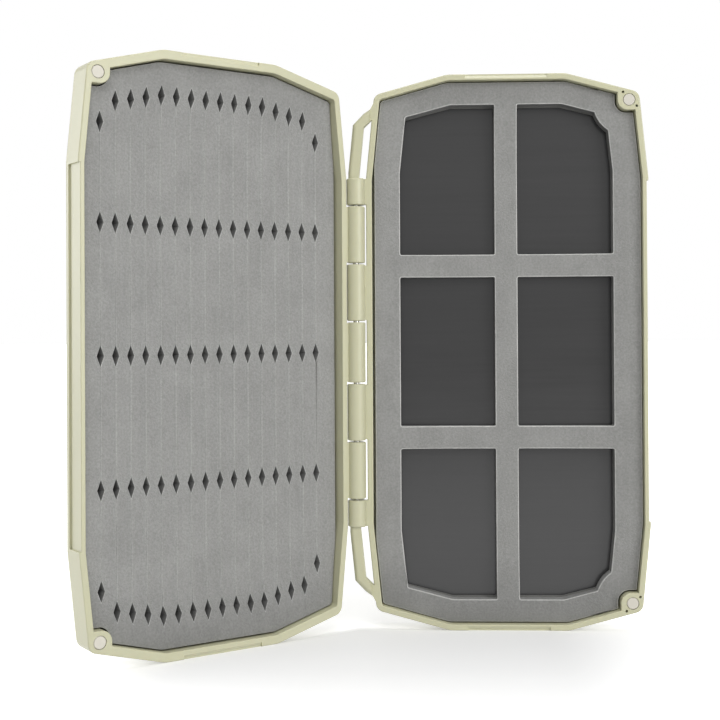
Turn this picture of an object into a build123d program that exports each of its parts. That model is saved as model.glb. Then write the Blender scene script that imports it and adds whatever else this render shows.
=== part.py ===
from build123d import *
import os

# A pocket fly box that opens like a book: two moulded shells on one hinge pin, a slit foam pad in
# the lid, a foam frame with six windows over a magnetic sheet in the base, and a disc magnet in
# each corner of the opening edge. It stands on the lower ends of both shells, open.
#
# Frame, in millimetres: the origin is the middle of the base's lower end face, which the box
# stands on. +Z runs up along the hinge, +X from the hinge to the base's opening edge, and +Y from
# the mating plane to the base's back. Sizes are first laid out from the hinge axis: "across" is
# the distance from the axis, "up" is the height above the middle of the case, and "depth" is the
# distance behind the mating plane, the same for both halves.

# Outline of one half, a long octagon with its sides drawn in towards both ends
case_width = 95.2
case_height = 188.0
end_flat_length = 40.0
straight_side_length = 117.0
corner_inset = 2.9
corner_drop = 6.7
corner_radius = 3.2
bend_radius = 9.0

# Walls of one half
half_depth = 11.7
floor_thickness = 2.3
side_wall = 2.0
hinge_wall = 2.0
lid_end_extra = 0.9
rim_setback = 0.1
back_edge_radius = 2.4
rim_edge_radius = 0.45
rim_inner_radius = 0.25
back_panel_border = 9.0
back_panel_depth = 0.5

# Finger grip in the opening edge, and the thumbnail bevels at both ends
grip_length = 115.0
grip_recess = 0.6
grip_depth = 8.0
grip_edge_radius = 0.3
nail_bevel_length = 27.6
nail_bevel_height = 1.45
nail_bevel_ledge = 0.5
nail_bevel_depth = 0.7

# Hinge
hinge_offset = 3.5
hinge_length = 117.6
barrel_radius = 3.1
barrel_edge_chamfer = 0.3
middle_knuckle_length = 20.3
knuckle_length = 19.1
knuckle_gap = 0.5
pin_radius = 1.0
pin_end_chamfer = 0.3
pin_running_clearance = 0.06
pin_grip_clearance = 0.02
pin_end_play = 0.4
pin_end_cover = 1.2
lid_opening = 143.3

# Lanyard loops, one beyond each end of the hinge
loop_half_thickness = 2.0
loop_edge_radius = 1.5
loop_inset = 0.7
loop_bar_width = 3.6
loop_lean = 0.1
loop_bend_rise = 2.0
loop_corner_gap = 5.1
loop_end_height = 1.4
loop_end_width = 2.1
loop_shoulder_height = 3.8
loop_shoulder_width = 3.65
loop_slot_cover = 0.8
loop_slot_shoulder = 2.5
loop_root_rise = 2.6
loop_root_width = 1.4
loop_swing_clearance = 0.9

# Closing magnets and their corner bosses
magnet_radius = 2.0
magnet_thickness = 3.0
magnet_edge_chamfer = 0.2
magnet_pocket_clearance = 0.1
magnet_glue_gap = 0.15
magnet_from_edge = 6.3
magnet_from_end = 9.3
boss_side_reach = 3.9
boss_end_reach = 3.4
vent_radius = 0.45
vent_depth = 2.5
vent_spacing = 3.3
inner_vent_angle = 128.0
outer_vent_angle = -40.0

# Foam and magnetic inserts
foam_setback = 4.0
foam_clearance = 0.3
hinge_side_clearance = 0.75
boss_clearance = 0.5
tape_thickness = 0.2
magnet_sheet_thickness = 1.3

# Windows of the base's foam frame
window_hinge_border = 8.7
window_opening_border = 9.2
window_end_border = 8.1
window_divider = 7.7
window_crossbar = 7.7
middle_window_height = 50.8
window_flat_length = 37.6
window_straight_length = 122.0
window_corner_inset = 2.0
window_corner_drop = 3.9
window_corner_radius = 0.5
window_boss_radius = 11.8

# Slits and diamond holes of the lid's pad
slit_count = 16
slit_hinge_margin = 7.45
slit_opening_margin = 5.65
slit_width = 0.3
diamond_height = 6.4
diamond_width = 2.4
end_row_margin = 11.3
end_row_flat_count = 8
end_row_step = 1.1
outer_column_drop = 6.7

# Sizes that follow from these
half_height = case_height / 2
near_side = hinge_offset
far_side = hinge_offset + case_width
case_middle = hinge_offset + case_width / 2
straight_half = straight_side_length / 2
cavity_floor = half_depth - floor_thickness
pad_near = near_side + hinge_wall + hinge_side_clearance
pad_far = far_side - side_wall - foam_clearance
pad_half_up = half_height - side_wall - foam_clearance
window_near = pad_near + window_hinge_border
window_far = pad_far - window_opening_border
window_middle = (window_near + window_far) / 2
slit_pitch = (pad_far - pad_near - slit_hinge_margin - slit_opening_margin) / (slit_count - 1)
end_row_up = pad_half_up - end_row_margin
magnet_across = far_side - magnet_from_edge
magnet_up = half_height - magnet_from_end
stand_depth = (rim_setback + half_depth - back_edge_radius) / 2
hinge_end = hinge_length / 2
pin_half_length = hinge_end - pin_end_cover - pin_end_play


def long_octagon(left, right, half_up, flat_half, side_half, inset, drop):
    """An octagon stretched upwards, whose sides lean in by inset towards its four corners."""
    middle = (left + right) / 2
    upper = [
        (right, side_half),
        (right - inset, half_up - drop),
        (middle + flat_half, half_up),
        (middle - flat_half, half_up),
        (left + inset, half_up - drop),
        (left, side_half),
    ]
    lower = [(across, -up) for across, up in reversed(upper)]
    return make_face(Polyline(*upper, *lower, close=True))


def case_outline():
    """Outer edge of one half, with rounded corners and softened bends."""
    face = long_octagon(
        near_side, far_side, half_height, end_flat_length / 2, straight_half, corner_inset, corner_drop
    )
    corner_up = half_height - corner_drop
    corners = [v for v in face.vertices() if abs(abs(v.Y) - corner_up) < 0.01]
    face = fillet(corners, corner_radius)
    bends = [v for v in face.vertices() if abs(abs(v.Y) - half_height) < 0.01]
    bends += [v for v in face.vertices() if abs(abs(v.Y) - straight_half) < 0.01]
    return fillet(bends, bend_radius)


def boss_outline(margin):
    """The two corner bosses: each fills the corner outside its magnet and rounds off inside it."""
    left = magnet_across - boss_side_reach - margin
    bottom = magnet_up - boss_end_reach - margin
    reach = magnet_from_edge + magnet_from_end + 2 * boss_side_reach
    face = Pos(left, bottom) * Rectangle(reach, reach, align=(Align.MIN, Align.MIN))
    inner_corner = face.vertices().sort_by(lambda v: v.X + v.Y)[0]
    upper = fillet(inner_corner, boss_end_reach + margin)
    return Sketch() + upper + mirror(upper, about=Plane.XZ)


def cavity_outline(margin, hinge_margin, boss_margin, end_extra):
    """Inside of the walls, less the bosses, drawn in by margins for what goes in there."""
    face = offset(case_outline(), -(side_wall + margin), kind=Kind.INTERSECTION)
    face = (Pos(0, end_extra) * face) & (Pos(0, -end_extra) * face)
    hinge_strip = Rectangle(case_width, case_height + 1, align=(Align.MAX, Align.CENTER))
    face -= Pos(near_side + hinge_wall + hinge_margin, 0) * hinge_strip
    return face - boss_outline(boss_margin)


def insert_outline(end_extra):
    """The outline that the foams, their tapes and the magnetic sheet are cut to."""
    return cavity_outline(foam_clearance, hinge_side_clearance, boss_clearance, end_extra)


def slab(face, near, far):
    """The solid of a flat outline between two depths behind the mating plane."""
    return extrude(Plane.XZ.offset(-near) * face, amount=near - far)


def upright_cylinder(radius, low, high):
    """A cylinder on the hinge axis."""
    return Pos(0, 0, low) * Cylinder(radius, high - low, align=(Align.CENTER, Align.CENTER, Align.MIN))


def plain_shell(end_extra):
    """One half without its hinge knuckles: tray, magnet pockets, grip and nail bevels."""
    shell = slab(case_outline(), rim_setback, half_depth)
    back_edges = shell.edges().filter_by(lambda e: abs(e.center().Y - half_depth) < 0.01)
    shell = fillet(back_edges, back_edge_radius)
    front_edges = shell.edges().filter_by(lambda e: abs(e.center().Y - rim_setback) < 0.01)
    shell = fillet(front_edges, rim_edge_radius)
    shell -= slab(cavity_outline(0, 0, 0, end_extra), 0, cavity_floor)
    inner_edges = [
        e
        for e in shell.faces().sort_by(Axis.Y)[0].inner_wires()[0].edges()
        if abs(e.center().Y - rim_setback) < 0.01
    ]
    shell = fillet(inner_edges, rim_inner_radius)
    panel = offset(case_outline(), -back_panel_border, kind=Kind.INTERSECTION)
    shell -= slab(panel, half_depth - back_panel_depth, half_depth + 1)
    grip = Pos(far_side - grip_recess, 0) * Rectangle(
        grip_recess + 1, grip_length, align=(Align.MIN, Align.CENTER)
    )
    shell -= slab(grip, 0, grip_depth)
    grip_edges = [
        e
        for e in shell.edges().filter_by(lambda e: abs(e.center().Y - rim_setback) < 0.01)
        if abs(e.center().X - far_side + grip_recess) < 0.01
    ]
    shell = fillet(grip_edges, grip_edge_radius)
    shell -= nail_bevel() + mirror(nail_bevel(), about=Plane.XY)
    for up in (magnet_up, -magnet_up):
        pocket = Pos(magnet_across, up) * Circle(magnet_radius + magnet_pocket_clearance)
        shell -= slab(pocket, 0, rim_setback + magnet_thickness + magnet_glue_gap)
    return shell


def nail_bevel():
    """The step cut in the upper end's rim, so that a thumbnail can part the closed halves."""
    front = rim_setback - 0.01
    back = rim_setback + nail_bevel_depth
    step = Polyline(
        (front, half_height - nail_bevel_height),
        (back, half_height - nail_bevel_ledge),
        (back, half_height + 1),
        (front, half_height + 1),
        close=True,
    )
    side_view = Plane.YZ.offset(case_middle - nail_bevel_length / 2)
    return extrude(side_view * make_face(step), amount=nail_bevel_length)


def knuckle(low, high):
    """One hinge barrel with the web that joins it to the wall of its half, before the pin hole."""
    barrel = upright_cylinder(barrel_radius, low, high)
    ends = barrel.edges().filter_by(GeomType.CIRCLE)
    barrel = chamfer(ends, barrel_edge_chamfer)
    web_length = near_side + hinge_wall / 2
    web_height = high - low - 2 * barrel_edge_chamfer
    web_thickness = barrel_radius - rim_setback
    web = Box(web_length, web_thickness, web_height, align=(Align.MIN, Align.MIN, Align.MIN))
    return barrel + Pos(0, rim_setback, low + barrel_edge_chamfer) * web


def knuckle_span(number):
    """Low and high ends of the knuckle that lies this many above the middle one, number 0."""
    if number == 0:
        return -middle_knuckle_length / 2, middle_knuckle_length / 2
    pitch = knuckle_length + knuckle_gap
    low = middle_knuckle_length / 2 + knuckle_gap + (number - 1) * pitch
    return low, low + knuckle_length


def lanyard_loop():
    """The upper loop: a bar that carries on from the hinge barrel and returns to the case's side."""
    root = hinge_end - loop_bar_width
    bend = hinge_end + loop_bend_rise
    landing_up = half_height - corner_drop - loop_corner_gap
    shoulder_up = landing_up - loop_end_height
    bar_top = shoulder_up - loop_shoulder_height
    outer_left = loop_inset - barrel_radius
    bar_left = outer_left + loop_lean * (bar_top - bend)
    shoulder = (bar_left + loop_shoulder_width, shoulder_up)
    landing = (shoulder[0] + loop_end_width, landing_up)
    outer = Polyline(
        (outer_left, root),
        (outer_left, bend),
        (bar_left, bar_top),
        shoulder,
        landing,
        (landing[0] + loop_root_width, landing_up + loop_root_rise),
        (near_side + corner_inset, bar_top),
        (near_side + hinge_wall / 2, root),
        close=True,
    )
    slot_left = outer_left + loop_bar_width
    slot_top = bar_top - loop_slot_cover
    slot_shoulder = (slot_left + loop_lean * (slot_top - hinge_end), slot_top)
    slot_corner = (slot_shoulder[0] + loop_slot_shoulder, slot_top + loop_slot_shoulder)
    slot = Polyline(
        (slot_left, hinge_end),
        slot_shoulder,
        slot_corner,
        (far_side, slot_corner[1]),
        (far_side, hinge_end),
        close=True,
    )
    loop = slab(make_face(outer), -loop_half_thickness, loop_half_thickness)
    face_edges = [
        e
        for e in loop.edges()
        if abs(abs(e.center().Y) - loop_half_thickness) < 0.01
        and (e.center().X < near_side + hinge_wall / 2 or e.center().Z > landing_up)
    ]
    loop = fillet(face_edges, loop_edge_radius)
    loop -= slab(make_face(slot), -half_depth, half_depth)
    lid_space = offset(case_outline(), loop_swing_clearance, kind=Kind.INTERSECTION)
    return loop - slab(lid_space, -half_depth, rim_setback)


def base_shell():
    """The base: its shell with four knuckles, two lanyard loops and the bosses' vent holes."""
    shell = plain_shell(0)
    end_low = knuckle_span(3)[0]
    for low, high in (knuckle_span(1), (end_low, hinge_end)):
        shell += knuckle(low, high)
        shell += knuckle(-high, -low)
    loop = lanyard_loop()
    shell += loop + mirror(loop, about=Plane.XY)
    shell -= upright_cylinder(pin_radius + pin_grip_clearance, -case_height, pin_half_length + pin_end_play)
    for side in (1, -1):
        for angle in (inner_vent_angle, outer_vent_angle):
            arm = Vector(vent_spacing, 0).rotate(Axis.Z, side * angle)
            vent = Pos(magnet_across + arm.X, side * magnet_up + arm.Y) * Circle(vent_radius)
            shell -= slab(vent, 0, rim_setback + vent_depth)
    return shell


def lid_shell():
    """The lid, closed over the base: its shell, with stouter ends, and three knuckles."""
    shell = plain_shell(lid_end_extra)
    low, high = knuckle_span(2)
    for span in (knuckle_span(0), (low, high), (-high, -low)):
        shell += knuckle(*span)
    shell -= upright_cylinder(pin_radius + pin_running_clearance, -case_height, case_height)
    return shell


def hinge_pin():
    """The steel pin through all seven knuckles."""
    pin = upright_cylinder(pin_radius, -pin_half_length, pin_half_length)
    return chamfer(pin.edges().filter_by(GeomType.CIRCLE), pin_end_chamfer)


def corner_magnet(side):
    """A disc magnet, flush with the rim, at the upper corner (1) or the lower one (-1)."""
    disc = Pos(magnet_across, side * magnet_up) * Circle(magnet_radius)
    magnet = slab(disc, rim_setback, rim_setback + magnet_thickness)
    return chamfer(magnet.edges().filter_by(GeomType.CIRCLE), magnet_edge_chamfer)


def window_openings():
    """The six windows: a long octagon, less the crossed bars and the corners round the magnets."""
    face = long_octagon(
        window_near,
        window_far,
        pad_half_up - window_end_border,
        window_flat_length / 2,
        window_straight_length / 2,
        window_corner_inset,
        window_corner_drop,
    )
    face -= Pos(window_middle, 0) * Rectangle(window_divider, case_height)
    crossbar_up = (middle_window_height + window_crossbar) / 2
    for side in (1, -1):
        face -= Pos(window_middle, side * crossbar_up) * Rectangle(case_width, window_crossbar)
        face -= Pos(magnet_across, side * magnet_up) * Circle(window_boss_radius)
    return fillet(face.vertices(), window_corner_radius)


def window_foam_frame(near, far):
    """The foam frame, or the tape cut with it, between two depths."""
    return slab(insert_outline(0) - window_openings(), near, far)


def end_hole_up(column):
    """Height of the end rows' hole in one column, which follows the pad's sloping ends."""
    steps_out = max(0, abs(column - (slit_count - 1) / 2) + 0.5 - end_row_flat_count / 2)
    drop = steps_out * end_row_step
    if column in (0, slit_count - 1):
        drop += outer_column_drop - end_row_step
    return end_row_up - drop


def slit_pattern():
    """All slits and diamond holes: one slit down each column, a hole at both ends and three between."""
    diamond = make_face(
        Polyline(
            (diamond_width / 2, 0),
            (0, diamond_height / 2),
            (-diamond_width / 2, 0),
            (0, -diamond_height / 2),
            close=True,
        )
    )
    pattern = Sketch()
    for column in range(slit_count):
        across = pad_near + slit_hinge_margin + column * slit_pitch
        top = end_hole_up(column)
        middle = end_row_up / 2
        pattern += Pos(across, 0) * Rectangle(slit_width, 2 * top)
        for up in (top, middle, 0, -middle, -top):
            pattern += Pos(across, up) * diamond
    return pattern


def slit_foam_pad():
    """The lid's foam pad with its slits and holes, cut right through."""
    outline = insert_outline(lid_end_extra)
    return slab(outline - slit_pattern(), foam_setback, cavity_floor - tape_thickness)


def case_pieces():
    """Every piece by name, closed, laid out from the hinge axis, with the base's body or the lid's."""
    sheet_top = cavity_floor - tape_thickness - magnet_sheet_thickness
    frame_bottom = sheet_top - tape_thickness
    base = {
        "base_shell": base_shell(),
        "hinge_pin": hinge_pin(),
        "window_foam_frame": window_foam_frame(foam_setback, frame_bottom),
        "window_foam_tape": window_foam_frame(frame_bottom, sheet_top),
        "magnet_sheet": slab(insert_outline(0), sheet_top, sheet_top + magnet_sheet_thickness),
        "magnet_sheet_tape": slab(insert_outline(0), cavity_floor - tape_thickness, cavity_floor),
        "base_magnet_upper": corner_magnet(1),
        "base_magnet_lower": corner_magnet(-1),
    }
    lid = {
        "lid_shell": lid_shell(),
        "slit_foam_pad": slit_foam_pad(),
        "slit_foam_tape": slab(insert_outline(lid_end_extra), cavity_floor - tape_thickness, cavity_floor),
        "lid_magnet_upper": corner_magnet(1),
        "lid_magnet_lower": corner_magnet(-1),
    }
    return base, lid


def write_parts():
    """Open the lid, move everything to the standing face, and write one file for each piece."""
    os.makedirs("parts", exist_ok=True)
    standing = Location((-case_middle, -stand_depth, half_height))
    opened = Rotation(0, 0, -lid_opening)
    base, lid = case_pieces()
    placed = {name: standing * piece for name, piece in base.items()}
    for name, piece in lid.items():
        placed[name] = standing * (opened * mirror(piece, about=Plane.XZ))
    for name, piece in placed.items():
        piece.label = name
        export_step(piece, f"parts/{name}.step")


write_parts()
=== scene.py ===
import math

import bmesh
import bpy
from mathutils import Matrix, Vector


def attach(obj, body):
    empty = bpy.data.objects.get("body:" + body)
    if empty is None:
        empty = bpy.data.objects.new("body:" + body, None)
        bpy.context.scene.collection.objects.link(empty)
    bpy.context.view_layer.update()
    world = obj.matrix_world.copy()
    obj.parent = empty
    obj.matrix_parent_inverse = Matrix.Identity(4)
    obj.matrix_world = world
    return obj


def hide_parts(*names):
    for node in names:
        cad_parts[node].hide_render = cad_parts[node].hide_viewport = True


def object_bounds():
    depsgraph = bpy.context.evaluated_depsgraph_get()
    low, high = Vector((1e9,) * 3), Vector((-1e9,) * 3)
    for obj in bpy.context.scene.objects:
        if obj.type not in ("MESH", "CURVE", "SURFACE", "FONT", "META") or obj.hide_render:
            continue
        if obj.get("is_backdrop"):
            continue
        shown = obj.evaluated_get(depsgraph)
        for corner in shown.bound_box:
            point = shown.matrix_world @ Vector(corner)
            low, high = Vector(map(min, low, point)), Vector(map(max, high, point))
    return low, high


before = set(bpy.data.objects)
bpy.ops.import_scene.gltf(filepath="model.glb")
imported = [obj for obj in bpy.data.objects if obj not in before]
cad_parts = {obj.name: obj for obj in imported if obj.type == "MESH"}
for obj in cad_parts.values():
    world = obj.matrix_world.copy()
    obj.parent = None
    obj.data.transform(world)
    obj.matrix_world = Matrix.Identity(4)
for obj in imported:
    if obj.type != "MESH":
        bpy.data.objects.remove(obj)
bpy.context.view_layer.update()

# Camera
# A short telephoto lens about 42 cm in front of the box, level with its middle and hardly tilted,
# so that the base is seen square on and the lid at an angle.
bpy.ops.object.camera_add(
    location=(-0.03423, -0.42324, 0.10046),
    rotation=(math.radians(90.512), math.radians(0.315), math.radians(2.137)),
)
camera = bpy.context.object
camera.data.lens = 61.8
camera.data.sensor_width = 36
camera.data.shift_y = -0.05244
camera.data.clip_start = 0.01
bpy.context.scene.camera = camera
bpy.context.scene.view_settings.view_transform = "Standard"


# Studio table
# A plain sweep of pale board, which keeps the soft shadow in front of the box. To the camera it
# glows behind the box, beside it and further off, where it meets the white room, and whatever
# shines mirrors that glow all round the box.
def start_material(name, roughness):
    """A new node material: its nodes, its links and its main shader."""
    material = bpy.data.materials.new(name)
    material.use_nodes = True
    shader = material.node_tree.nodes["Principled BSDF"]
    shader.inputs["Roughness"].default_value = roughness
    return material, material.node_tree.nodes, material.node_tree.links, shader


def feed(socket, value):
    """Join another node's output to a socket, or set it to a number or a colour."""
    if isinstance(value, bpy.types.NodeSocket):
        links.new(value, socket)
    else:
        socket.default_value = value


def combine(operation, first, second):
    """The sum, product or the like of two values."""
    node = nodes.new("ShaderNodeMath")
    node.operation = operation
    feed(node.inputs[0], first)
    feed(node.inputs[1], second)
    return node.outputs[0]


def ramp(value, start, end, low=0.0, high=1.0, kind="LINEAR"):
    """A value that goes from low to high while another goes from start to end."""
    node = nodes.new("ShaderNodeMapRange")
    node.interpolation_type = kind
    feed(node.inputs["Value"], value)
    feed(node.inputs["From Min"], start)
    feed(node.inputs["From Max"], end)
    feed(node.inputs["To Min"], low)
    feed(node.inputs["To Max"], high)
    return node.outputs["Result"]


def who_looks():
    """Two values that are 1 where the camera looks, and where a mirrored or bent ray does."""
    path = nodes.new("ShaderNodeLightPath").outputs
    return path["Is Camera Ray"], combine("ADD", path["Is Glossy Ray"], path["Is Transmission Ray"])


hinge_axis = Vector((-0.0511, -0.0047, 0.094))
lid_turn = math.radians(-143.3)
middle_of_both = -0.045

bpy.ops.object.select_all(action="DESELECT")
bpy.ops.mesh.primitive_plane_add(size=24)
table = bpy.context.object
table.name = "studio_table"
table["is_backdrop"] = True

board, nodes, links, shader = start_material("White board", 0.6)
shader.inputs["Base Color"].default_value = (0.74, 0.74, 0.74, 1)
shader.inputs["Specular IOR Level"].default_value = 0.2
shader.inputs["Emission Color"].default_value = (1, 1, 1, 1)
place = nodes.new("ShaderNodeTexCoord").outputs["Object"]
split = nodes.new("ShaderNodeSeparateXYZ")
links.new(place, split.inputs[0])
length = nodes.new("ShaderNodeVectorMath")
length.operation = "LENGTH"
links.new(place, length.inputs[0])
across, forward, far_off = split.outputs["X"], split.outputs["Y"], length.outputs["Value"]
beside = combine("ABSOLUTE", combine("SUBTRACT", across, middle_of_both), 0.0)
lid_line = combine("MULTIPLY", combine("SUBTRACT", across, hinge_axis.x), -math.tan(lid_turn))
behind = combine("ADD", combine("MAXIMUM", lid_line, 0.0), combine("SUBTRACT", forward, hinge_axis.y))
# Each part of the glow: its strength, what it goes by, and where it starts and is full, in metres
board_glow = 0.15
for strength, value, start, full in (
    (0.2, forward, -0.02, -0.11),
    (0.25, beside, 0.055, 0.095),
    (0.35, behind, -0.001, 0.006),
    (0.5, far_off, 0.12, 0.5),
):
    part = combine("MULTIPLY", ramp(value, start, full, kind="SMOOTHSTEP"), strength)
    board_glow = combine("ADD", board_glow, part)
camera_looks, shine_looks = who_looks()
seen = combine("MULTIPLY", board_glow, camera_looks)
mirrored = combine("MULTIPLY", ramp(far_off, 0.75, 0.4, kind="SMOOTHSTEP"), shine_looks)
links.new(combine("ADD", seen, mirrored), shader.inputs["Emission Strength"])
table.data.materials.append(board)


# Studio light
# A dim even room and four soft boxes: a high one in front as the main light, one on the right for
# the lid, one far left that whitens the lid's outer wall, and one above for the upper edges. The
# camera and whatever shines meet a pure white room, and the front box isn't mirrored.
def hang_soft_box(name, place, aim, size, watts):
    """A square soft box at a place, turned towards a point."""
    bpy.ops.object.select_all(action="DESELECT")
    turn = (Vector(aim) - Vector(place)).to_track_quat("-Z", "Y").to_euler()
    bpy.ops.object.light_add(type="AREA", location=place, rotation=turn)
    lamp = bpy.context.object
    lamp.name = name
    lamp.data.size = size
    lamp.data.energy = watts
    return lamp


front = hang_soft_box("soft_box_front", (0.05, -0.95, 0.85), (-0.03, 0, 0.1), 0.6, 5.8)
front.visible_glossy = False
hang_soft_box("soft_box_right", (0.80, -0.78, 0.32), (-0.03, 0, 0.1), 0.6, 5.9)
hang_soft_box("soft_box_side", (-0.95, 0.12, 0.25), (-0.13, -0.06, 0.1), 0.5, 4.0)
hang_soft_box("soft_box_top", (0, -0.12, 1.1), (-0.05, 0, 0.1), 0.5, 3.8)

room_light, room_white = 0.28, 1.0
room = bpy.data.worlds.new("White room")
bpy.context.scene.world = room
room.use_nodes = True
nodes, links = room.node_tree.nodes, room.node_tree.links
camera_looks, shine_looks = who_looks()
strength = ramp(combine("ADD", camera_looks, shine_looks), 0, 1, room_light, room_white)
links.new(strength, nodes["Background"].inputs["Strength"])
nodes["Background"].inputs["Color"].default_value = (1, 1, 1, 1)


# Base and lid shells
# Two trays moulded in pale olive ABS, with the hinge knuckles, lanyard loops and magnet bosses in
# one piece with them. The mould gives them a satin face with a fine, slightly uneven grain.
def start_group(name, inputs, outputs):
    """A new shader group with named number inputs and named outputs."""
    group = bpy.data.node_groups.new(name, "ShaderNodeTree")
    for label, value in inputs:
        socket = group.interface.new_socket(label, in_out="INPUT", socket_type="NodeSocketFloat")
        socket.default_value = value
    for label, kind in outputs:
        group.interface.new_socket(label, in_out="OUTPUT", socket_type="NodeSocket" + kind)
    entry, leave = group.nodes.new("NodeGroupInput"), group.nodes.new("NodeGroupOutput")
    return group, group.nodes, group.links, entry, leave


def use_group(nodes, group, **values):
    """The group placed in a material, with its own values."""
    node = nodes.new("ShaderNodeGroup")
    node.node_tree = group
    for label, value in values.items():
        node.inputs[label.replace("_", " ")].default_value = value
    return node


def finish_nodes(material, *names):
    """Give the material to these moulded, cut or ground pieces of the frame."""
    for name in names:
        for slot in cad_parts[name].material_slots:
            slot.material = material


def noise(place, size, detail):
    """Cloudy waves over a place, this many to the metre, as a value from 0 to 1."""
    node = nodes.new("ShaderNodeTexNoise")
    node.inputs["Detail"].default_value = detail
    feed(node.inputs["Vector"], place)
    feed(node.inputs["Scale"], size)
    return node.outputs["Fac"]


def raised(height, depth):
    """The normal of a surface that a pattern raises by a depth, in metres."""
    node = nodes.new("ShaderNodeBump")
    feed(node.inputs["Distance"], depth)
    feed(node.inputs["Height"], height)
    return node.outputs["Normal"]


def tinted(share, dark, light):
    """A colour between two others, by a share from 0 to 1."""
    node = nodes.new("ShaderNodeMix")
    node.data_type = "RGBA"
    feed(node.inputs["Factor"], share)
    node.inputs["A"].default_value = dark
    node.inputs["B"].default_value = light
    return node.outputs["Result"]


# Fine grain for all that is moulded or rolled: a slow drift in tone and a fine relief
surface_grain, nodes, links, entry, leave = start_group(
    "Surface grain",
    [("Grain size", 900), ("Drift size", 30), ("Relief", 0.00002)],
    [("Drift", "Float"), ("Grain", "Float"), ("Normal", "Vector")],
)
place = nodes.new("ShaderNodeTexCoord").outputs["Object"]
fine = noise(place, entry.outputs["Grain size"], 3)
links.new(noise(place, entry.outputs["Drift size"], 2), leave.inputs["Drift"])
links.new(fine, leave.inputs["Grain"])
links.new(raised(fine, entry.outputs["Relief"]), leave.inputs["Normal"])

olive_plastic, nodes, links, shader = start_material("Olive ABS", 0.36)
grain = use_group(nodes, surface_grain, Grain_size=1400, Drift_size=35, Relief=0.000012)
olive = tinted(grain.outputs["Drift"], (0.461, 0.451, 0.306, 1), (0.502, 0.494, 0.337, 1))
links.new(olive, shader.inputs["Base Color"])
links.new(ramp(grain.outputs["Grain"], 0, 1, 0.30, 0.44), shader.inputs["Roughness"])
links.new(grain.outputs["Normal"], shader.inputs["Normal"])
shader.inputs["IOR"].default_value = 1.53
shader.inputs["Subsurface Weight"].default_value = 0.08
shader.inputs["Subsurface Radius"].default_value = (1.0, 0.8, 0.4)
shader.inputs["Subsurface Scale"].default_value = 0.0008
finish_nodes(olive_plastic, "base_shell", "lid_shell")


# Hinge pin
# A straight length of ground stainless wire, pushed up through all seven knuckles. Only slivers
# of it show, in the half-millimetre gaps between them.
def stretched(place, scale):
    """A place whose patterns are drawn out along the axes that have a small scale."""
    node = nodes.new("ShaderNodeMapping")
    node.inputs["Scale"].default_value = scale
    links.new(place, node.inputs["Vector"])
    return node.outputs["Vector"]


turned_metal, nodes, links, entry, leave = start_group(
    "Turned metal",
    [("Line size", 4000), ("Roughness", 0.3), ("Relief", 0.000004)],
    [("Roughness", "Float"), ("Normal", "Vector")],
)
place = nodes.new("ShaderNodeTexCoord").outputs["Object"]
lines = noise(stretched(place, (1, 1, 0.08)), entry.outputs["Line size"], 4)
rougher = combine("ADD", combine("MULTIPLY", lines, 0.16), entry.outputs["Roughness"])
links.new(rougher, leave.inputs["Roughness"])
links.new(raised(lines, entry.outputs["Relief"]), leave.inputs["Normal"])

pin_steel, nodes, links, shader = start_material("Stainless wire", 0.3)
metal = use_group(nodes, turned_metal, Line_size=3000, Roughness=0.16)
links.new(metal.outputs["Roughness"], shader.inputs["Roughness"])
links.new(metal.outputs["Normal"], shader.inputs["Normal"])
shader.inputs["Base Color"].default_value = (0.56, 0.55, 0.52, 1)
shader.inputs["Metallic"].default_value = 1
finish_nodes(pin_steel, "hinge_pin")


# Closing magnets
# Four small neodymium discs, nickel plated and tumbled to a soft shine. Each is glued into the
# pocket of its corner boss, flush with the rim.
nickel, nodes, links, shader = start_material("Nickel plating", 0.5)
metal = use_group(nodes, turned_metal, Line_size=2200, Roughness=0.48)
grain = use_group(nodes, surface_grain, Grain_size=1800, Drift_size=260, Relief=0.000006)
warm_grey = tinted(grain.outputs["Drift"], (0.485, 0.463, 0.405, 1), (0.565, 0.540, 0.474, 1))
links.new(warm_grey, shader.inputs["Base Color"])
links.new(metal.outputs["Roughness"], shader.inputs["Roughness"])
links.new(grain.outputs["Normal"], shader.inputs["Normal"])
shader.inputs["Metallic"].default_value = 0.3
finish_nodes(nickel, "base_magnet_upper", "base_magnet_lower", "lid_magnet_upper", "lid_magnet_lower")


# Magnetic sheet
# A charcoal sheet of rubber filled with magnet powder, 1.3 mm thick. It is rolled out in the
# making, which leaves faint straight streaks across it and a dull sheen.
def blended(share, first, second):
    """A pattern that takes a share from 0 to 1 of the second and the rest of the first."""
    node = nodes.new("ShaderNodeMix")
    node.inputs["Factor"].default_value = share
    links.new(first, node.inputs["A"])
    links.new(second, node.inputs["B"])
    return node.outputs["Result"]


charcoal, nodes, links, shader = start_material("Magnetic rubber", 0.4)
rolled_out = stretched(nodes.new("ShaderNodeTexCoord").outputs["Object"], (0.03, 1, 1))
streaks = noise(rolled_out, 900, 4)
bands = noise(rolled_out, 70, 2)
streaky = blended(0.5, streaks, bands)
sooty_grey = tinted(streaky, (0.020, 0.020, 0.0202, 1), (0.032, 0.032, 0.0323, 1))
links.new(sooty_grey, shader.inputs["Base Color"])
links.new(ramp(streaks, 0, 1, 0.16, 0.30), shader.inputs["Roughness"])
links.new(raised(streaks, 0.00001), shader.inputs["Normal"])
finish_nodes(charcoal, "magnet_sheet")


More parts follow.
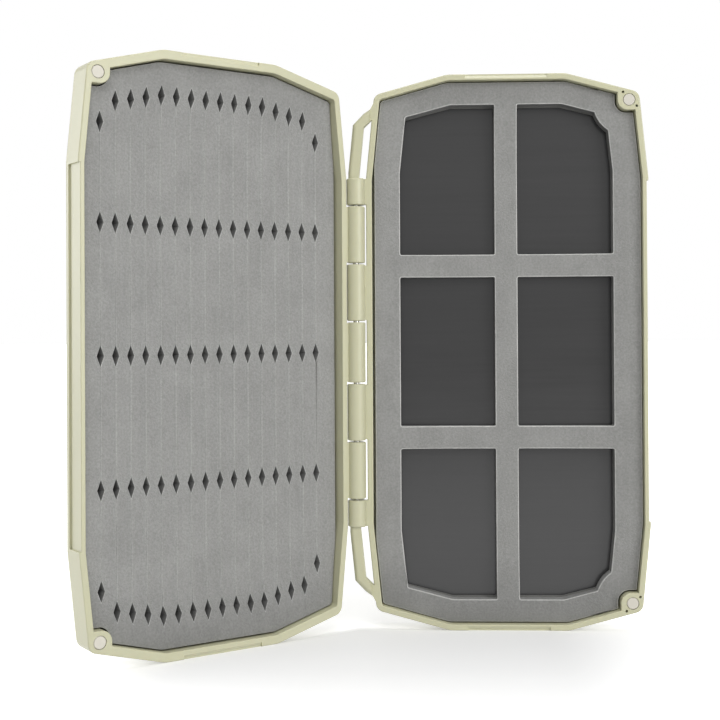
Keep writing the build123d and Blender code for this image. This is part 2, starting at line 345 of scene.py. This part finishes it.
# Adhesive sheets
# Double-sided tape, 0.2 mm thick, cut with the piece that it holds. It is a milky film whose
# edges alone can be seen, at the foot of the foams' cut walls.
milky_film, nodes, links, shader = start_material("Adhesive film", 0.5)
grain = use_group(nodes, surface_grain, Grain_size=700, Drift_size=60, Relief=0.00001)
milky_grey = tinted(grain.outputs["Drift"], (0.10, 0.10, 0.095, 1), (0.15, 0.15, 0.14, 1))
links.new(milky_grey, shader.inputs["Base Color"])
links.new(grain.outputs["Normal"], shader.inputs["Normal"])
finish_nodes(milky_film, "slit_foam_tape", "window_foam_tape", "magnet_sheet_tape")


# Slit foam pad
# The lid's pad, die-cut from 5.2 mm closed-cell EVA foam. Sixteen slits grip the hooks, each with
# five diamond holes punched along it, and the foam is stuck down over its whole back.
mm = 0.001
case_middle = 51.1
case_edge = ((98.7, 58.5), (95.8, 87.3), (71.1, 94.0))
foam_low, foam_high = (6.3, 4.0, -91.6), (96.5, 9.2, 91.6)
foam_inset = 2.25
foam_corner = 0.9
lid_foam_shorter = 1.1
boss_across, boss_up = 92.4, 84.7
notch_across, notch_up, notch_corner = 4.4, 3.9, 3.89
cutter_front, cutter_back = 3, 11
cutter_overrun = 14


def work_on(piece):
    """Make this the one piece that the next tools shape."""
    bpy.ops.object.select_all(action="DESELECT")
    piece.select_set(True)
    bpy.context.view_layer.objects.active = piece


def add_block(name, low, high):
    """A block between two corners (across, depth, up), in millimetres from the hinge axis."""
    low, high = Vector(low) * mm, Vector(high) * mm
    bpy.ops.object.select_all(action="DESELECT")
    bpy.ops.mesh.primitive_cube_add(size=1, location=(low + high) / 2, scale=high - low)
    block = bpy.context.object
    block.name = name
    bpy.ops.object.transform_apply(location=True, rotation=False, scale=True)
    return block


def add_prism(name, corners, radius, across, up, front, back, wide=1.0, high=1.0):
    """An upright prism or a disc that runs from one depth to another."""
    bpy.ops.object.select_all(action="DESELECT")
    bpy.ops.mesh.primitive_cylinder_add(
        vertices=corners,
        radius=radius * mm,
        depth=(back - front) * mm,
        location=Vector((across, (front + back) / 2, up)) * mm,
        rotation=(math.pi / 2, 0, 0),
        scale=(wide, high, 1),
    )
    prism = bpy.context.object
    prism.name = name
    bpy.ops.object.transform_apply(location=True, rotation=True, scale=True)
    return prism


def trim(piece, start, end, margin):
    """Slice off what lies beyond a line from start to end, drawn in by a margin."""
    along = (Vector(end) - Vector(start)).normalized()
    outward = Vector((along.y, 0, -along.x))
    on_line = (Vector((start[0], 0, start[1])) - outward * margin) * mm
    work_on(piece)
    bpy.ops.object.mode_set(mode="EDIT")
    bpy.ops.mesh.select_all(action="SELECT")
    bpy.ops.mesh.bisect(plane_co=on_line, plane_no=outward, use_fill=True, clear_outer=True)
    bpy.ops.object.mode_set(mode="OBJECT")


def round_upright_edges(piece, width, sharper_than, steps):
    """Round the edges that run front to back, where the sides turn by more than an angle."""
    work_on(piece)
    bpy.ops.object.mode_set(mode="EDIT")
    bpy.ops.mesh.select_mode(type="EDGE")
    bpy.ops.mesh.select_all(action="DESELECT")
    mesh = bmesh.from_edit_mesh(piece.data)
    for edge in mesh.edges:
        along = (edge.verts[1].co - edge.verts[0].co).normalized()
        edge.select = abs(along.y) > 0.99 and edge.calc_face_angle(0) > math.radians(sharper_than)
    bmesh.update_edit_mesh(piece.data)
    bpy.ops.mesh.bevel(offset=width * mm, segments=steps, affect="EDGES")
    bpy.ops.object.mode_set(mode="OBJECT")


def cut_out(piece, *cutters):
    """Punch the cutters' shapes out of the piece."""
    bpy.ops.object.select_all(action="DESELECT")
    for cutter in cutters:
        cutter.select_set(True)
    bpy.context.view_layer.objects.active = cutters[0]
    if len(cutters) > 1:
        bpy.ops.object.join()
    punch = piece.modifiers.new("Punch", "BOOLEAN")
    punch.operation = "DIFFERENCE"
    punch.solver = "EXACT"
    punch.object = cutters[0]
    work_on(piece)
    bpy.ops.object.modifier_apply(modifier=punch.name)
    bpy.data.objects.remove(cutters[0])


def trim_to_outline(piece, points, middle, margin):
    """Slice a block's four corners to a long octagon, from the points of its upper right corner."""
    for corner in zip(points, points[1:]):
        for side in (1, -1):
            for end in (1, -1):
                line = [(middle + side * (across - middle), end * up) for across, up in corner]
                trim(piece, *(line if side == end else reversed(line)), margin)


def foam_blank(name, back, shorter):
    """A foam cut to the inside of a shell, with its corners cleared for the magnet bosses."""
    end = foam_high[2] - shorter
    foam = add_block(name, (*foam_low[:2], -end), (foam_high[0], back, end))
    outline = [(across, up - shorter) for across, up in case_edge]
    trim_to_outline(foam, outline, case_middle, foam_inset)
    round_upright_edges(foam, foam_corner, 5, 4)
    for side in (1, -1):
        low, high = sorted((side * (boss_up - notch_up), side * (boss_up + cutter_overrun)))
        inner, outer = boss_across - notch_across, boss_across + cutter_overrun
        notch = add_block("notch", (inner, cutter_front, low), (outer, cutter_back, high))
        round_upright_edges(notch, notch_corner, 30, 12)
        cut_out(foam, notch)
    return foam


def score_face(piece):
    """Part the faces by lines at ever larger steps in from the pad's four sides."""
    first_step, growth = 2.9, 0.17
    work_on(piece)
    bpy.ops.object.mode_set(mode="EDIT")
    for axis, low, high in ((0, foam_low[0], foam_high[0]), (2, foam_low[2], foam_high[2])):
        across_line = Vector((axis == 0, 0, axis == 2))
        for step in range(1, 10):
            margin = first_step * step + growth * step * step
            for place in (low + margin, high - margin):
                bpy.ops.mesh.select_all(action="SELECT")
                bpy.ops.mesh.bisect(plane_co=across_line * place * mm, plane_no=across_line)
    bpy.ops.object.mode_set(mode="OBJECT")


def soften_cut_edges(piece, width):
    """Round the edges that the die leaves, as foam springs back from the blade."""
    edges = piece.modifiers.new("Cut edges", "BEVEL")
    edges.width = width * mm
    edges.segments = 2
    # The rounded cut edges take the second material, a painted highlight paler than the face.
    edges.material = 1
    edges.limit_method = "ANGLE"
    edges.angle_limit = math.radians(50)
    edges.use_clamp_overlap = False
    edges.harden_normals = True
    work_on(piece)
    bpy.ops.object.shade_smooth_by_angle(angle=math.radians(35))
    bpy.ops.object.modifier_apply(modifier=edges.name)


def dish_face(piece, back, hinge_rise, edge_rise):
    """Let the face sink towards its middle: near the shell's walls the foam bulges up."""
    fall, middle_sunk, reach = 2.13, 0.76, 15
    for vertex in piece.data.vertices:
        across, depth, up = vertex.co / mm
        by_hinge = hinge_rise * math.exp(-(((across - foam_low[0]) / reach) ** 2))
        by_edge = edge_rise * math.exp(-(((foam_high[0] - across) / reach) ** 2))
        by_end = math.exp(-(((foam_high[2] - abs(up)) / reach) ** 2))
        sunk = middle_sunk - fall * (1 - (1 - max(by_hinge, by_edge)) * (1 - by_end))
        near_face = (back - depth) / (back - foam_low[1])
        vertex.co.y += sunk * near_face * mm


def lay_in_half(piece, turn):
    """Move a piece from its layout on the bench to its shell, turned about the hinge axis."""
    work_on(piece)
    piece.location = hinge_axis
    piece.rotation_euler = turn
    bpy.ops.object.transform_apply(location=True, rotation=True, scale=False)


columns, first_across, column_pitch = 16, 13.7, 5.137
row_pitch, end_row_level, end_row_fall, outermost_fall = 40.2, 3.5, 1.1, 5.6
diamond_half_width, diamond_half_height, slit_half_width = 1.2, 3.2, 0.03


def copy_to(piece, across, up):
    """A copy of a cutter with its own mesh, moved across and up."""
    copy = piece.copy()
    copy.data = piece.data.copy()
    copy.data.transform(Matrix.Translation(Vector((across, 0, up)) * mm))
    bpy.context.collection.objects.link(copy)
    return copy


slit_pad = foam_blank("slit_pad", foam_high[1], lid_foam_shorter)
diamond_size = diamond_half_width, diamond_half_height
diamond = add_prism("diamond", 4, 1, 0, 0, cutter_front, cutter_back, *diamond_size)
diamonds, slits = [], []
# The end rows run level over the middle columns and fall away beyond them, most at the outermost
for column in range(columns):
    across = first_across + column_pitch * column
    out = abs(column - (columns - 1) / 2)
    end_up = 2 * row_pitch - end_row_fall * max(0, out - end_row_level)
    if column in (0, columns - 1):
        end_up -= outermost_fall
    for up in (end_up, row_pitch, 0, -row_pitch, -end_up):
        diamonds.append(copy_to(diamond, across, up))
    near, far = across - slit_half_width, across + slit_half_width
    slits.append(add_block("slit", (near, cutter_front, -end_up), (far, cutter_back, end_up)))
bpy.data.objects.remove(diamond)
cut_out(slit_pad, *diamonds)
cut_out(slit_pad, *slits)
score_face(slit_pad)

# Foam, all through: burst and whole cells, a slow mottle, and the calender's upright streaks. Towards
# the ends of the box it is painted darker, as shade, more at the bottom end than at the top.
box_middle_up, end_shade_from, end_shade_full, end_shade_tone = 0.101, 0.070, 0.098, 0.8
foam_cells, nodes, links, entry, leave = start_group(
    "Foam cells",
    [("Cell size", 2600), ("Dark", 0.25), ("Light", 0.32), ("Relief", 0.00006)],
    [("Color", "Color"), ("Roughness", "Float"), ("Normal", "Vector")],
)
place = nodes.new("ShaderNodeTexCoord").outputs["Object"]
cells = nodes.new("ShaderNodeTexVoronoi")
feed(cells.inputs["Vector"], place)
feed(cells.inputs["Scale"], entry.outputs["Cell size"])
speckle = noise(place, 1500, 2)
cloud = noise(place, 90, 3)
rolled = noise(stretched(place, (1, 1, 0.03)), 800, 2)
mottle = blended(0.12, blended(0.35, speckle, cloud), rolled)
tone = ramp(mottle, 0.36, 0.64, entry.outputs["Dark"], entry.outputs["Light"])
split = nodes.new("ShaderNodeSeparateXYZ")
links.new(place, split.inputs[0])
# Painted shade: the foam is darkened towards both ends of the box, most at the bottom end.
from_middle = combine("ABSOLUTE", combine("SUBTRACT", split.outputs["Z"], box_middle_up), 0.0)
painted_end_shade = ramp(from_middle, end_shade_from, end_shade_full, 1, end_shade_tone, kind="SMOOTHSTEP")
tint = nodes.new("ShaderNodeMix")
tint.data_type = "RGBA"
tint.blend_type = "MULTIPLY"
tint.inputs["Factor"].default_value = 1
tint.inputs["B"].default_value = (1.0, 1.0, 0.965, 1)
links.new(combine("MULTIPLY", tone, painted_end_shade), tint.inputs["A"])
links.new(tint.outputs["Result"], leave.inputs["Color"])
links.new(ramp(speckle, 0, 1, 0.75, 0.95), leave.inputs["Roughness"])
height = combine("ADD", cells.outputs["Distance"], speckle)
links.new(raised(height, entry.outputs["Relief"]), leave.inputs["Normal"])


def dress_in_foam(piece, name, dark, light, edge, painted_wall_shade, painted_sill_shade):
    """Foam on the face, a painted highlight on the cut edges, painted shade on the walls, lighter
    painted shade on upturned sills.
    """
    piece.data.materials.clear()
    # Painted light: a paler copy of the foam for the cut edges, a darker copy for the walls as shade,
    # and a less dark copy for the walls that face up, as if lit from above.
    for suffix, gain in (("foam", 1), ("cut edge painted highlight", edge), ("cut wall", painted_wall_shade), ("painted_sill_shade", painted_sill_shade)):
        material, nodes, links, shader = start_material(f"{name} {suffix}", 0.85)
        cells = use_group(nodes, foam_cells, Dark=dark * gain, Light=light * gain)
        links.new(cells.outputs["Color"], shader.inputs["Base Color"])
        links.new(cells.outputs["Roughness"], shader.inputs["Roughness"])
        links.new(cells.outputs["Normal"], shader.inputs["Normal"])
        shader.inputs["Specular IOR Level"].default_value = 0.25
        shader.inputs["Sheen Weight"].default_value = 0.15
        shader.inputs["Sheen Roughness"].default_value = 0.5
        piece.data.materials.append(material)
    # Walls that face up get the sill copy, lighter painted shade; all other walls get the darker
    # painted shade.
    for face in piece.data.polygons:
        if abs(face.normal.y) < 0.5:
            face.material_index = 3 if face.normal.z > 0.3 else 2


# Lid foam: a little paler than the base's, which in part paints the extra light the lid catches from
# the right; a painted highlight on its cut edges and painted shade on its walls.
dress_in_foam(slit_pad, "Lid", 0.225, 0.301, 1.5, 0.8, 0.9)
soften_cut_edges(slit_pad, 0.16)
dish_face(slit_pad, foam_high[1], 0.4, 1)
lay_in_half(slit_pad, (math.pi, 0, lid_turn))
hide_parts("slit_foam_pad")
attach(slit_pad, "lid")


# Window foam frame
# The base's frame, die-cut from 3.7 mm foam of the same kind. Its six windows leave the magnetic
# sheet bare for small flies, and bars of foam part them.
window_foam_back = 7.7
window_edge = ((87.2, 61.0), (85.2, 80.1), (69.9, 84.1))
window_spans = ((15.0, 47.25), (54.95, 87.2))
window_rows = ((33.1, 84.1), (-84.1, -33.1), (-25.4, 25.4))
window_corner = 0.5
bar_round_boss = 11.8
window_frame = foam_blank("window_frame", window_foam_back, 0)
for low, high in window_rows:
    at_end = low * high > 0
    for near, far in window_spans:
        window = add_block("window", (near, cutter_front, low), (far, cutter_back, high))
        if at_end:
            trim_to_outline(window, window_edge, case_middle, 0)
        if at_end and far > case_middle:
            this_boss_up, front, back = math.copysign(boss_up, low), cutter_front - 1, cutter_back + 1
            boss = add_prism("boss", 96, bar_round_boss, boss_across, this_boss_up, front, back)
            cut_out(window, boss)
        round_upright_edges(window, window_corner, 10, 3)
        cut_out(window_frame, window)
score_face(window_frame)
# Base foam: a little darker than the lid's, in part as painted shade; a strong painted highlight on
# its cut edges, and its window walls painted far darker, as shade.
dress_in_foam(window_frame, "Base", 0.213, 0.285, 1.95, 0.3, 0.85)
soften_cut_edges(window_frame, 0.3)
dish_face(window_frame, window_foam_back, 1, 1.1)
lay_in_half(window_frame, (0, 0, 0))
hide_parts("window_foam_frame")
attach(window_frame, "base")


# Size
# The corners of the box as it is dressed.
low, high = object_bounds()
